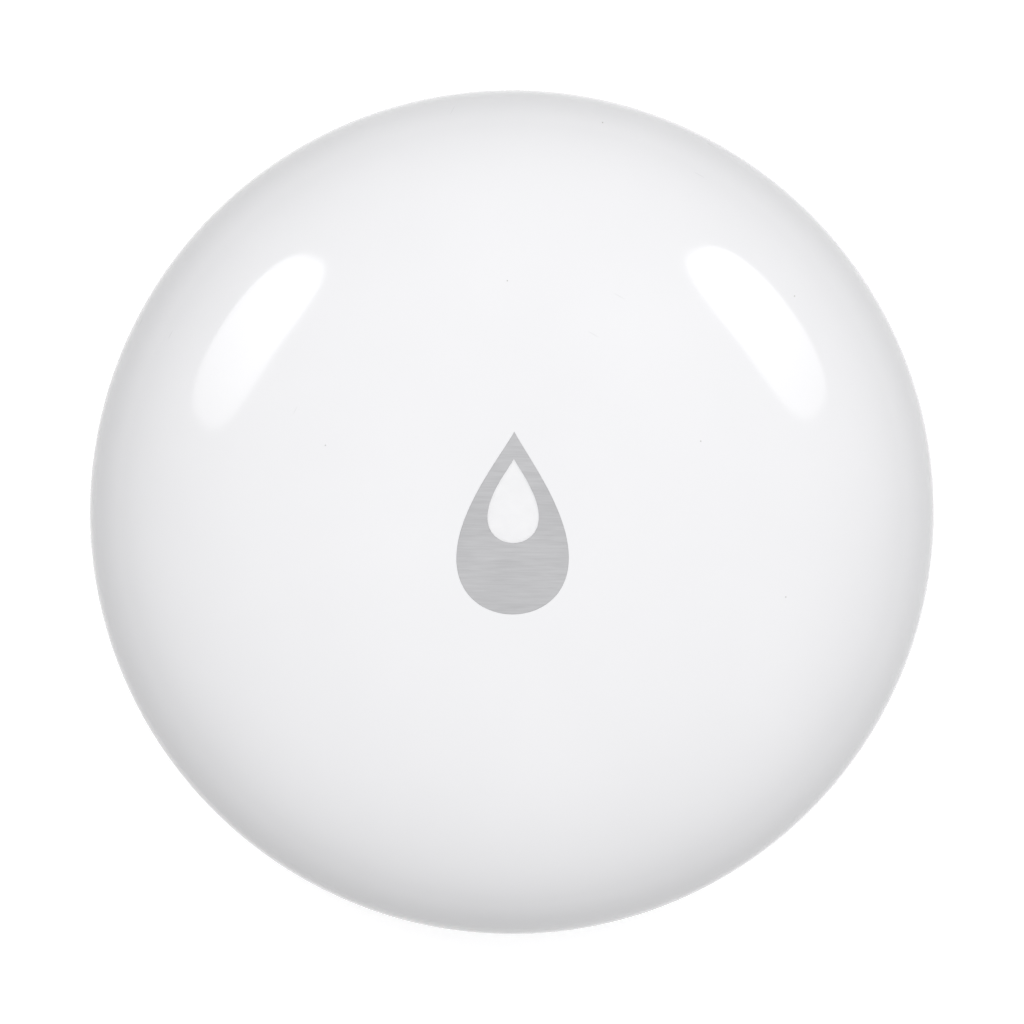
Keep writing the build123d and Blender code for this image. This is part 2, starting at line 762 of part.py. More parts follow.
# Spring contacts under the board: one on the cap, one on the side of the can, two on the probes
spring_level = board_low - spring_thickness / 2
negative_level = cell_high + spring_gap + spring_thickness / 2
negative_points = (
    (cell_cap_radius * negative_reach_shares[0], spring_level),
    (cell_cap_radius * negative_reach_shares[1], spring_level),
    (cell_cap_radius * negative_reach_shares[2], negative_level),
    (cell_cap_radius * negative_reach_shares[3], negative_level + spring_tip_rise),
)
with BuildPart() as negative_contact:
    add(spring_strip(Plane.XZ, negative_points, spring_width))
negative_contact.part.label = "negative_contact"
export_step(negative_contact.part, "parts/negative_contact.step")

positive_touch_y = -(cell_radius + spring_gap + spring_thickness / 2)
positive_level = (cell_low + cell_high) / 2
positive_points = (
    (positive_touch_y - positive_knee - positive_foot_length, spring_level),
    (positive_touch_y - positive_knee, spring_level),
    (positive_touch_y, positive_level),
    (positive_touch_y - positive_tip_splay, positive_level - positive_tip_drop),
)
with BuildPart() as positive_contact:
    add(spring_strip(Plane.YZ, positive_points, spring_width))
positive_contact.part.label = "positive_contact"
export_step(positive_contact.part, "parts/positive_contact.step")

leaf_level = probe_tip + leaf_gap + spring_thickness / 2
leaf_points = (
    (probe_circle_radius + leaf_reach - leaf_foot_length, spring_level),
    (probe_circle_radius + leaf_reach, spring_level),
    (probe_circle_radius, leaf_level),
    (probe_circle_radius - leaf_tip_length, leaf_level + leaf_tip_rise),
)
leaf = spring_strip(Plane.XZ, leaf_points, leaf_width)
with BuildPart() as probe_contacts:
    with PolarLocations(0, probe_count):
        add(leaf)
probe_contacts.part.label = "probe_contacts"
export_step(probe_contacts.part, "parts/probe_contacts.step")

# Battery cover: a round plate with a coin slot, a neck with lugs and an O-ring groove, and
# two stepped holes for the probes
cover_lug = helical_bar(neck_radius - weld, lug_radius, lug_height, lug_centre_low, lug_span)
with BuildPart() as battery_cover:
    with BuildSketch(Plane.XZ) as cover_section:
        band(0, cover_radius, foot_height, collar_low)
        band(0, slot_boss_radius, collar_low - weld, collar_low + slot_roof)
        band(neck_bore_radius, neck_radius, collar_low - weld, neck_step)
        band(neck_bore_radius, seal_neck_radius, neck_step - weld, neck_top)
        band(groove_radius, seal_neck_radius + overrun, groove_low, groove_high, mode=Mode.SUBTRACT)
    revolve(axis=Axis.Z)
    fillet(battery_cover.edges().group_by(Axis.Z)[0], radius=cover_edge_radius)
    with PolarLocations(0, lug_count, start_angle=lock_angle):
        add(cover_lug)
    with BuildSketch(Plane.XY.offset(foot_height)) as probe_boss_sketch:
        with PolarLocations(probe_circle_radius, probe_count):
            Circle(probe_boss_radius)
    extrude(amount=nut_low - foot_height)
    with BuildSketch(Plane.XY.offset(foot_height)) as coin_slot_sketch:
        SlotOverall(slot_length, slot_width)
    extrude(amount=slot_depth, mode=Mode.SUBTRACT)
    with BuildSketch(Plane.XY.offset(foot_height)) as head_recess_sketch:
        with PolarLocations(probe_circle_radius, probe_count):
            Circle(probe_head_radius + probe_recess_clearance)
    extrude(amount=probe_head_high - foot_height, mode=Mode.SUBTRACT)
    with BuildSketch(Plane.XY.offset(foot_height)) as seal_recess_sketch:
        with PolarLocations(probe_circle_radius, probe_count):
            Circle(probe_radius + probe_seal_section + 3 * probe_hole_clearance)
    extrude(amount=probe_seal_high - foot_height, mode=Mode.SUBTRACT)
    with BuildSketch(Plane.XY.offset(foot_height)) as probe_hole_sketch:
        with PolarLocations(probe_circle_radius, probe_count):
            Circle(probe_radius + probe_hole_clearance)
    extrude(amount=nut_high, mode=Mode.SUBTRACT)
    with BuildSketch(Plane.XY.offset(foot_height)) as cover_mark_sketch:
        with PolarLocations(cover_radius - mark_length, 1, start_angle=lock_angle):
            RegularPolygon(mark_length / 2, 3)
    extrude(amount=mark_depth, mode=Mode.SUBTRACT)
battery_cover.part.label = "battery_cover"
export_step(battery_cover.part, "parts/battery_cover.step")

# O-ring in the groove of the neck, at the size it has when it is squeezed in the bore
with BuildPart() as cover_seal:
    with BuildSketch(Plane.XZ) as cover_seal_section:
        with Locations((ring_outer_radius - ring_section / 2, (groove_low + groove_high) / 2)):
            Circle(ring_section / 2)
    revolve(axis=Axis.Z)
cover_seal.part.label = "cover_seal"
export_step(cover_seal.part, "parts/cover_seal.step")

# Probes: cross-head screws whose domed heads stand out below the cover
with BuildPart() as probe_screws:
    with BuildSketch(Plane.XY.offset(probe_head_low)) as probe_head_sketch:
        with PolarLocations(probe_circle_radius, probe_count):
            Circle(probe_head_radius)
    extrude(amount=probe_head_height)
    fillet(probe_screws.edges().group_by(Axis.Z)[0], radius=probe_head_dome)
    with BuildSketch(Plane.XY.offset(probe_head_high)) as probe_shank_sketch:
        with PolarLocations(probe_circle_radius, probe_count):
            Circle(probe_radius)
    extrude(amount=probe_tip - probe_head_high)
    chamfer(probe_screws.edges().group_by(Axis.Z)[-1], length=probe_radius / 4)
    with BuildSketch(Plane.XY.offset(probe_head_low)) as cross_sketch:
        with PolarLocations(probe_circle_radius, probe_count):
            Rectangle(cross_length, cross_width)
            Rectangle(cross_width, cross_length)
    extrude(amount=cross_depth, mode=Mode.SUBTRACT)
probe_screws.part.label = "probe_screws"
export_step(probe_screws.part, "parts/probe_screws.step")

# Small O-rings under the heads of the probes
probe_ring_radius = probe_radius + probe_hole_clearance + probe_seal_section / 2
with BuildPart() as probe_seals:
    with Locations((0, 0, (probe_head_high + probe_seal_high) / 2)):
        with PolarLocations(probe_circle_radius, probe_count):
            Torus(probe_ring_radius, probe_seal_section / 2)
probe_seals.part.label = "probe_seals"
export_step(probe_seals.part, "parts/probe_seals.step")

# Hex nuts that pull the probes tight from inside, with a flat towards the cell
with BuildPart() as probe_nuts:
    with BuildSketch(Plane.XY.offset(nut_low)) as nut_sketch:
        with PolarLocations(probe_circle_radius, probe_count):
            RegularPolygon(nut_width / 2, 6, major_radius=False, rotation=30)
            Circle(probe_radius + fit_clearance, mode=Mode.SUBTRACT)
    extrude(amount=nut_height)
probe_nuts.part.label = "probe_nuts"
export_step(probe_nuts.part, "parts/probe_nuts.step")
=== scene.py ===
from math import cos, pi, radians, sin

import bpy
import numpy as np
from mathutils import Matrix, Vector


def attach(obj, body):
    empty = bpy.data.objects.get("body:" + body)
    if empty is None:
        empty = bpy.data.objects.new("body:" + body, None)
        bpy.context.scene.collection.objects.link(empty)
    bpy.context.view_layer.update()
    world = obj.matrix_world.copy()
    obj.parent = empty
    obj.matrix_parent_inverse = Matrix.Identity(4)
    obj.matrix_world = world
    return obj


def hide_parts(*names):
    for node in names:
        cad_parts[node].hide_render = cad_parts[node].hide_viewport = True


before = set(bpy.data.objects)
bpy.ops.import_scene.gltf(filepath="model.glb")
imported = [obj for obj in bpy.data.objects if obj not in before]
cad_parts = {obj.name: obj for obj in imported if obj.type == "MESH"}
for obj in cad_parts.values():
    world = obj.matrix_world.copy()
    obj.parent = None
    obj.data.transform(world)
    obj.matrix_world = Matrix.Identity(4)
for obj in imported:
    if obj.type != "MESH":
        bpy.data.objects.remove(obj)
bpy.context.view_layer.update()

scene = bpy.context.scene
scene.view_settings.view_transform = "Standard"


# Upper casing: one injection-moulded shell of polished white ABS, snapped over the lower
# half. Its drop-shaped opening takes the key, and three bosses inside take the board screws.
millimetre = 0.001
body_radius, body_height, rim_height = 25.0, 15.0, 5.0
dome_exponent = 2.4
wall = 1.5
cavity_radius = body_radius - wall
outer_rise = body_height - rim_height
cavity_rise = outer_rise - wall
under_round_width, foot_height = 3.5, 0.6
seam_high, seam_round = 4.2, 0.12
lip_low, lip_high, lip_depth, lip_lead = 4.75, 5.15, 0.35, 0.15
lip_catch = lip_lead / 3
flange_low, flange_high = 12.5, 13.1
seal_ring_inner, seal_ring_outer = 7.84, 9.14
board_high = 7.9025
boss_circle, boss_radius, boss_round, boss_sink = 15.6, 2.0, 0.06, 0.2
boss_count, boss_columns = 3, 48
pilot_radius, pilot_depth = 0.87, 3.3
key_half_width, key_half_height, key_centre_y = 3.3, 5.38, -0.64
drop_sharpness = 1.25
hairline = 0.004
edge_round = 0.008
edge_depth = 4 * edge_round
# the rounding at the seam, as shares of its radius
corner_in_shares = np.array([0.08, 0.33, 1.0])
corner_up_shares = np.array([0.67, 0.17, 0.0])
plan_radius = 9.6
cavity_start = 0.02
shell_columns = 480
plan_rows, dome_rows, under_rows, cavity_rows, ring_rows = 34, 74, 6, 30, 8


def closed_surface(blocks, poles=False):
    """Points and faces of a closed surface from blocks of rings of one count of points.

    Point (i, j) of the stacked rings joins (i, j+1), (i+1, j+1) and (i+1, j), with j wrapping
    round. Without poles the last ring joins the first, as on a ring; with poles the first and
    last rings are closed by fans round their middles. Faces are turned so that the signed
    volume, the sum of a . (b x c) / 6 over the triangles, is positive.
    """
    rings = np.concatenate(blocks)
    rows, columns = rings.shape[:2]
    spot = np.arange(rows * columns).reshape(rows, columns)
    points = rings.reshape(-1, 3)
    fans = np.zeros((0, 3), dtype=int)
    low, high = spot, np.roll(spot, -1, axis=0)
    if poles:
        low, high = spot[:-1], spot[1:]
        points = np.concatenate([points, [rings[0].mean(axis=0), rings[-1].mean(axis=0)]])
        fans = np.concatenate([
            np.stack([np.roll(spot[0], -1), spot[0], np.full(columns, spot.size)], axis=-1),
            np.stack([spot[-1], np.roll(spot[-1], -1), np.full(columns, spot.size + 1)], axis=-1),
        ])
    quads = np.stack([low, np.roll(low, -1, axis=1), np.roll(high, -1, axis=1), high], axis=-1)
    quads = quads.reshape(-1, 4)
    a, b, c = np.moveaxis(points[np.concatenate([quads[:, :3], quads[:, [0, 2, 3]], fans])], 1, 0)
    if np.sum(a * np.cross(b, c)) < 0:
        quads, fans = quads[:, ::-1], fans[:, ::-1]
    return points, quads, fans


def place_piece(name, surfaces, material, crease_degrees=32):
    """Object at the origin made of closed surfaces in millimetres, side by side in one mesh.

    It is smooth but for creases over the given angle.
    """
    bases = np.cumsum([0] + [len(points) for points, _, _ in surfaces])
    points = np.concatenate([points for points, _, _ in surfaces])
    quads = np.concatenate([quads + base for (_, quads, _), base in zip(surfaces, bases)])
    fans = np.concatenate([fans + base for (_, _, fans), base in zip(surfaces, bases)])
    corners = np.concatenate([quads.reshape(-1), fans.reshape(-1)])
    starts = np.concatenate([np.arange(len(quads)) * 4, quads.size + np.arange(len(fans)) * 3])
    mesh = bpy.data.meshes.new(name)
    mesh.vertices.add(len(points))
    mesh.vertices.foreach_set("co", (points * millimetre).astype(np.float32).reshape(-1))
    mesh.loops.add(len(corners))
    mesh.loops.foreach_set("vertex_index", corners.astype(np.int32))
    mesh.polygons.add(len(starts))
    mesh.polygons.foreach_set("loop_start", starts.astype(np.int32))
    mesh.update(calc_edges=True)
    mesh.validate()
    mesh.materials.append(material)
    mesh.polygons.foreach_set("use_smooth", np.ones(len(starts), dtype=bool))
    mesh.set_sharp_from_angle(angle=radians(crease_degrees))
    piece = bpy.data.objects.new(name, mesh)
    scene.collection.objects.link(piece)
    return piece


def circles(radii, heights, columns):
    """Rings about the axis: point j of ring i is (-r sin u, r cos u, z), so u starts at +Y."""
    turn = np.linspace(0, 2 * pi, columns, endpoint=False)
    radii, heights = np.broadcast_arrays(np.atleast_1d(radii), np.atleast_1d(heights))
    across = -radii[:, None] * np.sin(turn)
    along = radii[:, None] * np.cos(turn)
    return np.stack([across, along, np.broadcast_to(heights[:, None], across.shape)], axis=-1)


def drop_line(half_width, half_height, centre_y, columns):
    """Outline of a water drop: x = -w sin u sin(u/2)^1.25 / c and y = centre + h cos u.

    c is the largest value of sin u sin(u/2)^1.25, so that w is half of the full width.
    """
    turn = np.linspace(0, 2 * pi, columns, endpoint=False)
    crest = 2 * (1 + drop_sharpness) / (2 + drop_sharpness) - 1
    widest = (1 - crest**2) ** 0.5 * ((1 + crest) / 2) ** (drop_sharpness / 2)
    across = -half_width * np.sin(turn) * np.sin(turn / 2) ** drop_sharpness / widest
    return np.stack([across, centre_y + half_height * np.cos(turn)], axis=-1)


def on_dome(flat, form_radius, form_rise, lift=0.0):
    """Points of a plan raised to the dome: z = rim + rise (1 - (r/R)^2.4)^(1/2.4) + lift."""
    ratio = np.minimum(np.hypot(flat[..., 0], flat[..., 1]) / form_radius, 1)
    height = rim_height + form_rise * (1 - ratio**dome_exponent) ** (1 / dome_exponent) + lift
    return np.concatenate([flat, height[..., None]], axis=-1)


def dome_circles(angles, form_radius, form_rise, columns):
    """Circles of the dome: r = R cos(a)^(2/2.4) and z = rim + rise sin(a)^(2/2.4)."""
    radii = form_radius * np.maximum(np.cos(angles), 0) ** (2 / dome_exponent)
    heights = rim_height + form_rise * np.maximum(np.sin(angles), 0) ** (2 / dome_exponent)
    return circles(radii, heights, columns)


def blend_plans(start, end, rows):
    """Plan curves between two plan curves: (1 - s) start + s end for s from 0 to 1."""
    share = np.linspace(0, 1, rows)[:, None, None]
    return (1 - share) * start + share * end


def opening_line(grow):
    """Outline of the opening for the key, grown outwards."""
    size = hairline + grow
    return drop_line(key_half_width + size, key_half_height + size, key_centre_y, shell_columns)


plan_circle = circles(plan_radius, 0, shell_columns)[0, :, :2]
ring_circle = circles(seal_ring_inner, 0, shell_columns)[0, :, :2]
meeting_angle = np.arccos((plan_radius / body_radius) ** (dome_exponent / 2))
ring_angle = np.arccos((seal_ring_outer / cavity_radius) ** (dome_exponent / 2))
seam_angle = np.arcsin((rim_height - seam_high) / (rim_height - foot_height))
under_turn = np.linspace(0, seam_angle, under_rows)
under_radii = body_radius - under_round_width + under_round_width * np.cos(under_turn)
under_heights = rim_height - (rim_height - foot_height) * np.sin(under_turn)
dome_turn = np.linspace(meeting_angle, 0, dome_rows)
cavity_turn = np.linspace(cavity_start, ring_angle, cavity_rows)
dome_plans = blend_plans(opening_line(edge_round), plan_circle, plan_rows)
ring_plans = blend_plans(ring_circle, opening_line(0), ring_rows)
round_in, round_up = seam_round * corner_in_shares, seam_round * corner_up_shares
shell = closed_surface([
    # opening wall, from the inside of the shell to its lip
    on_dome(opening_line(0)[None], cavity_radius, cavity_rise),
    on_dome(opening_line(0)[None], body_radius, outer_rise, -edge_depth),
    on_dome(opening_line(0)[None], body_radius, outer_rise, -edge_round),
    # dome, from the lip of the opening to the rim
    on_dome(dome_plans, body_radius, outer_rise),
    dome_circles(dome_turn[1:], body_radius, outer_rise, shell_columns),
    # turned-in edge down to the seam, its flat and the way up inside, past the snap lip
    circles(under_radii[1:-1], under_heights[1:-1], shell_columns),
    circles(under_radii[-1] - round_in, seam_high + round_up, shell_columns),
    circles(cavity_radius + round_in[::-1], seam_high + round_up[::-1], shell_columns),
    circles(
        [cavity_radius, cavity_radius - lip_depth, cavity_radius - lip_depth, cavity_radius],
        [lip_low, lip_low + lip_catch, lip_high - lip_lead, lip_high],
        shell_columns,
    ),
    # inside of the dome, the ring that carries the soft seal, and back to the opening
    dome_circles(cavity_turn, cavity_radius, cavity_rise, shell_columns),
    circles([seal_ring_outer, seal_ring_inner], flange_low, shell_columns),
    on_dome(ring_plans[:-1], cavity_radius, cavity_rise),
])
boss_edge = np.array([[boss_circle + boss_radius, 0.0]])
boss_roof = on_dome(boss_edge, body_radius, outer_rise, -boss_sink)[0, 2]
boss_rings = circles(
    [pilot_radius, pilot_radius, boss_radius - boss_round, boss_radius, boss_radius],
    [board_high + pilot_depth, board_high, board_high, board_high + boss_round, boss_roof],
    boss_columns,
)
bosses = [
    closed_surface([boss_rings + boss_circle * np.array([-sin(turn), cos(turn), 0])], poles=True)
    for turn in np.arange(boss_count) * 2 * pi / boss_count
]


def linear(hex_colour):
    """Linear RGBA of an sRGB hex colour."""
    parts = np.array([int(hex_colour[i:i + 2], 16) / 255 for i in (1, 3, 5)])
    parts = np.where(parts <= 0.04045, parts / 12.92, ((parts + 0.055) / 1.055) ** 2.4)
    return (*parts.tolist(), 1.0)


def add_node(tree, kind, inputs=None, **settings):
    """Adds one node with its settings, and sets or links its inputs by name or place."""
    node = tree.nodes.new(kind)
    for key, value in settings.items():
        setattr(node, key, value)
    for key, value in (inputs or {}).items():
        if isinstance(value, bpy.types.NodeSocket):
            tree.links.new(value, node.inputs[key])
        else:
            node.inputs[key].default_value = value
    return node


# the range that a noise mostly keeps to
noise_low, noise_high = 0.3, 0.7


def marked_finish(name, tones, gloss, mark, skin, depth, stretch=(1, 1, 1), **sockets):
    """Material with soft marks and a finer skin, and its tree and object coordinates.

    The marks, of the given size in millimetres and stretched along the axes, lead from one
    sRGB tone and roughness to the other. The skin, its size and depth in millimetres, is the
    relief. Other sockets of the shader take their values by name.
    """
    material = bpy.data.materials.new(name)
    material.use_nodes = True
    tree = material.node_tree
    shader = tree.nodes["Principled BSDF"]
    shader.inputs["Base Color"].default_value = linear(tones[0])
    for socket, value in sockets.items():
        shader.inputs[socket.replace("_", " ")].default_value = value
    place = add_node(tree, "ShaderNodeTexCoord").outputs["Object"]
    drawn = add_node(tree, "ShaderNodeMapping", {
        "Vector": place, "Scale": tuple(1 / share for share in stretch),
    }).outputs["Vector"]
    marks = add_node(tree, "ShaderNodeTexNoise", {
        "Vector": drawn, "Scale": 1 / (mark * millimetre), "Detail": 3.0,
    }).outputs["Fac"]
    share = add_node(tree, "ShaderNodeMapRange", {
        "Value": marks, "From Min": noise_low, "From Max": noise_high,
    }).outputs["Result"]
    tone = add_node(tree, "ShaderNodeMix", {
        "Factor": share, 6: linear(tones[0]), 7: linear(tones[1]),
    }, name="tone", data_type="RGBA")
    rough = add_node(tree, "ShaderNodeMapRange", {
        "Value": share, "To Min": gloss[0], "To Max": gloss[1],
    }, name="rough")
    fine = add_node(tree, "ShaderNodeTexNoise", {
        "Vector": drawn, "Scale": 1 / (skin * millimetre), "Detail": 3.0,
    })
    bump = add_node(tree, "ShaderNodeBump", {
        "Height": fine.outputs["Fac"], "Strength": 1.0, "Distance": depth * millimetre,
    }, name="relief")
    tree.links.new(tone.outputs[2], shader.inputs["Base Color"])
    tree.links.new(rough.outputs["Result"], shader.inputs["Roughness"])
    tree.links.new(bump.outputs["Normal"], shader.inputs["Normal"])
    return material, tree, place


def rare_marks(tree, place, colour, spacing, size, share, turn=0.0, slender=1.0):
    """Lays rare marks of an sRGB colour over the tone, in a share of cells on the plan.

    The size of the marks and the spacing of the cells are in millimetres. Slender marks are
    that many times longer along the X axis, which is turned by the given angle.
    """
    turned = add_node(tree, "ShaderNodeMapping", {"Vector": place, "Rotation": (0, 0, turn)})
    drawn = add_node(tree, "ShaderNodeMapping", {
        "Vector": turned.outputs["Vector"], "Scale": (1 / slender, 1, 1),
    })
    cells = add_node(tree, "ShaderNodeTexVoronoi", {
        "Vector": drawn.outputs["Vector"], "Scale": 1 / (spacing * millimetre),
    }, voronoi_dimensions="2D")
    luck = add_node(tree, "ShaderNodeSeparateColor", {"Color": cells.outputs["Color"]})
    chosen = add_node(tree, "ShaderNodeMath", {
        0: luck.outputs["Red"], 1: 1 - share,
    }, operation="GREATER_THAN")
    near = add_node(tree, "ShaderNodeMath", {
        0: cells.outputs["Distance"], 1: size / spacing / 2,
    }, operation="LESS_THAN")
    marked = add_node(tree, "ShaderNodeMath", {
        0: chosen.outputs[0], 1: near.outputs[0],
    }, operation="MULTIPLY")
    base_colour = tree.nodes["Principled BSDF"].inputs["Base Color"]
    tone = add_node(tree, "ShaderNodeMix", {
        "Factor": marked.outputs[0], 6: base_colour.links[0].from_socket, 7: linear(colour),
    }, data_type="RGBA")
    tree.links.new(tone.outputs[2], base_colour)


# Polished ABS: high gloss from a polished mould, faint flow marks in tone and gloss, an
# orange-peel waviness under a micrometre deep, rare grey specks of moulded-in dust, and a few
# short hair scratches from handling.
polished_abs, tree, place = marked_finish(
    "polished_white_abs", tones=("#F4F4F6", "#F6F6F8"), gloss=(0.07, 0.09),
    mark=9.0, skin=2.6, depth=0.0009, IOR=1.54,
)
scratch, dust = "#ECECEE", "#CFCECD"
rare_marks(tree, place, scratch, spacing=1.4, size=0.045, share=0.05, turn=0.5, slender=16)
rare_marks(tree, place, scratch, spacing=1.4, size=0.04, share=0.04, turn=-1.1, slender=14)
rare_marks(tree, place, dust, spacing=5.5, size=0.085, share=0.1)

upper_casing = place_piece("upper_casing", [shell, *bosses], polished_abs)
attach(upper_casing, "housing")
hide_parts("top_shell")


# Drop key: an ABS key with a skin of brushed aluminium foil stamped on its face. It lies
# flush with the dome and is held in by the flange under it.
lens_half_width, lens_half_height, lens_centre_y = 1.515, 2.49, 0.66
flange_reach, flange_round = 0.8, 0.06
fit_gap = 0.002
key_columns, key_rows = 256, 28
drift_size, drift_low = 3.0, 0.97


def key_line(grow):
    """Outline of the key, grown outwards."""
    return drop_line(key_half_width + grow, key_half_height + grow, key_centre_y, key_columns)


def lens_line(grow):
    """Outline of the light guide, grown outwards."""
    return drop_line(lens_half_width + grow, lens_half_height + grow, lens_centre_y, key_columns)


def at_height(flat, heights):
    """One plan curve repeated at each of the given heights."""
    heights = np.atleast_1d(heights)
    rings = np.broadcast_to(flat, (len(heights),) + flat.shape)
    level = np.broadcast_to(heights[:, None, None], rings.shape[:2] + (1,))
    return np.concatenate([rings, level], axis=-1)


key_face = blend_plans(lens_line(fit_gap + edge_round), key_line(-edge_round), key_rows)
key_surface = closed_surface([
    on_dome(key_face, body_radius, outer_rise),
    on_dome(key_line(0)[None], body_radius, outer_rise, -edge_round),
    on_dome(key_line(0)[None], body_radius, outer_rise, -edge_depth),
    at_height(key_line(0), flange_high + flange_round),
    at_height(key_line(flange_round), flange_high),
    at_height(key_line(flange_reach - flange_round), flange_high),
    at_height(key_line(flange_reach), [flange_high - flange_round, flange_low + flange_round]),
    at_height(key_line(flange_reach - flange_round), flange_low),
    at_height(lens_line(fit_gap), flange_low),
    on_dome(lens_line(fit_gap)[None], body_radius, outer_rise, -edge_depth),
    on_dome(lens_line(fit_gap)[None], body_radius, outer_rise, -edge_round),
])

# Brushed aluminium: lines 0.09 mm apart along X in tone, gloss and depth, drawn a little
# coarser than the real brushing so that they show, and a slow drift of tone across the face.
# The foil is matt, so it keeps its grey under any light.
brushed_aluminium, tree, place = marked_finish(
    "brushed_aluminium", tones=("#BCBCBE", "#C7C7C9"), gloss=(0.38, 0.47),
    mark=0.09, skin=0.09, depth=0.0006, stretch=(18, 1, 1), Metallic=1.0, Anisotropic=0.45,
)
drift = add_node(tree, "ShaderNodeTexNoise", {
    "Vector": place, "Scale": 1 / (drift_size * millimetre), "Detail": 1.0,
})
clouds = add_node(tree, "ShaderNodeMapRange", {
    "Value": drift.outputs["Fac"], "From Min": noise_low, "From Max": noise_high,
    "To Min": drift_low,
})
dulled = add_node(tree, "ShaderNodeVectorMath", {
    0: tree.nodes["tone"].outputs[2], "Scale": clouds.outputs["Result"],
}, operation="SCALE")
tree.links.new(dulled.outputs[0], tree.nodes["Principled BSDF"].inputs["Base Color"])

drop_face = place_piece("drop_face", [key_surface], brushed_aluminium)
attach(drop_face, "drop_key")
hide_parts("drop_key")


# Light guide: a peg of opal polycarbonate pressed into the key, polished flush with it. It
# spreads the light of the lamp on the board.
guide_core_share, guide_rows = 0.9, 16
guide_middle = -lens_half_width * guide_core_share
guide_face = blend_plans(lens_line(guide_middle), lens_line(-edge_round), guide_rows)
guide_surface = closed_surface([
    on_dome(guide_face, body_radius, outer_rise),
    on_dome(lens_line(0)[None], body_radius, outer_rise, -edge_round),
    on_dome(lens_line(0)[None], body_radius, outer_rise, -edge_depth),
    at_height(lens_line(0), flange_low + flange_round),
    at_height(lens_line(-flange_round), flange_low),
    at_height(lens_line(guide_middle), flange_low),
], poles=True)

# Opal polycarbonate: milky, with a little light carried under its polished face.
opal_polycarbonate, _, _ = marked_finish(
    "opal_polycarbonate", tones=("#F4F4F6", "#F7F7F9"), gloss=(0.10, 0.14),
    mark=0.9, skin=1.6, depth=0.0005, IOR=1.585,
    Subsurface_Weight=0.2, Subsurface_Scale=0.0004, Subsurface_Radius=(1.0, 1.0, 1.0),
)

light_guide = place_piece("light_guide", [guide_surface], opal_polycarbonate)
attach(light_guide, "drop_key")
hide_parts("drop_lens")


def dress(material, *node_names):
    """Gives CAD nodes their material."""
    for node_name in node_names:
        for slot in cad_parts[node_name].material_slots:
            slot.material = material


# Soft seal under the key: clear silicone, bonded to the ring of the shell, with a nub that
# passes the push of the key on to the switch. The cell's gasket is the same kind of plastic.
clear_silicone, _, _ = marked_finish(
    "clear_silicone", tones=("#D3D7D8", "#E6E8E8"), gloss=(0.34, 0.52),
    mark=0.7, skin=0.25, depth=0.003, IOR=1.41,
    Transmission_Weight=0.35, Subsurface_Weight=0.2, Subsurface_Scale=0.0006,
)
dress(clear_silicone, "key_membrane", "cell_gasket")


# Lower casing and cover: a moulded tub of satin white ABS with the collar of the battery bay
# and three feet, and the twist-off cover with its coin slot. The outside is spark-eroded, so
# it hides the scratches of the floor, and its edges are broken by a tenth of a millimetre.
broken_edge = 0.12
satin_abs, tree, _ = marked_finish(
    "satin_white_abs", tones=("#EDEDEF", "#F0F0F2"), gloss=(0.42, 0.46),
    mark=6.0, skin=0.22, depth=0.012, IOR=1.54,
)
soft_edge = add_node(tree, "ShaderNodeBevel", {"Radius": broken_edge * millimetre}, samples=4)
tree.links.new(soft_edge.outputs["Normal"], tree.nodes["relief"].inputs["Normal"])
dress(satin_abs, "base_housing", "battery_cover")


# Seal of the seam: a ring of grey silicone on the shoulder, squeezed when the halves snap
# together.
grey_silicone, _, _ = marked_finish(
    "grey_silicone", tones=("#7F8285", "#989B9E"), gloss=(0.48, 0.64),
    mark=1.4, skin=0.12, depth=0.004, IOR=1.41,
)
dress(grey_silicone, "shell_seal")


# Board: glass laminate under a green mask, with covered tracks that show as raised lines, and
# a bare straw-coloured edge with the weave of the glass where it was routed.
track_length, track_pitch, track_width = 2.3, 0.8, 0.05
face_slope, mask_roughness = 0.5, 0.28
board_laminate, tree, place = marked_finish(
    "masked_glass_laminate", tones=("#B79E62", "#CDB87F"), gloss=(0.62, 0.74),
    mark=0.3, skin=0.3, depth=0.03, stretch=(1, 1, 0.3), IOR=1.5,
)
tracks = add_node(tree, "ShaderNodeTexBrick", {
    "Vector": place, "Scale": 1 / millimetre, "Mortar Size": track_width, "Mortar Smooth": 0.2,
    "Brick Width": track_length, "Row Height": track_pitch,
    "Color1": linear("#1B5F35"), "Color2": linear("#22733F"), "Mortar": linear("#3C9258"),
}, offset=0.37, squash=1.6, squash_frequency=3)
facing = add_node(tree, "ShaderNodeSeparateXYZ", {
    0: add_node(tree, "ShaderNodeNewGeometry").outputs["True Normal"],
}).outputs["Z"]
flatness = add_node(tree, "ShaderNodeMath", {0: facing}, operation="ABSOLUTE").outputs[0]
is_face = add_node(tree, "ShaderNodeMath", {
    0: flatness, 1: face_slope,
}, operation="GREATER_THAN").outputs[0]
shader = tree.nodes["Principled BSDF"]
skin = add_node(tree, "ShaderNodeMix", {
    "Factor": is_face, 6: tree.nodes["tone"].outputs[2], 7: tracks.outputs["Color"],
}, data_type="RGBA")
mask_gloss = add_node(tree, "ShaderNodeMix", {
    0: is_face, 2: tree.nodes["rough"].outputs["Result"], 3: mask_roughness,
}, data_type="FLOAT")
tree.links.new(skin.outputs[2], shader.inputs["Base Color"])
tree.links.new(mask_gloss.outputs[0], shader.inputs["Roughness"])
tree.links.new(tracks.outputs["Fac"], tree.nodes["relief"].inputs["Height"])
dress(board_laminate, "circuit_board")


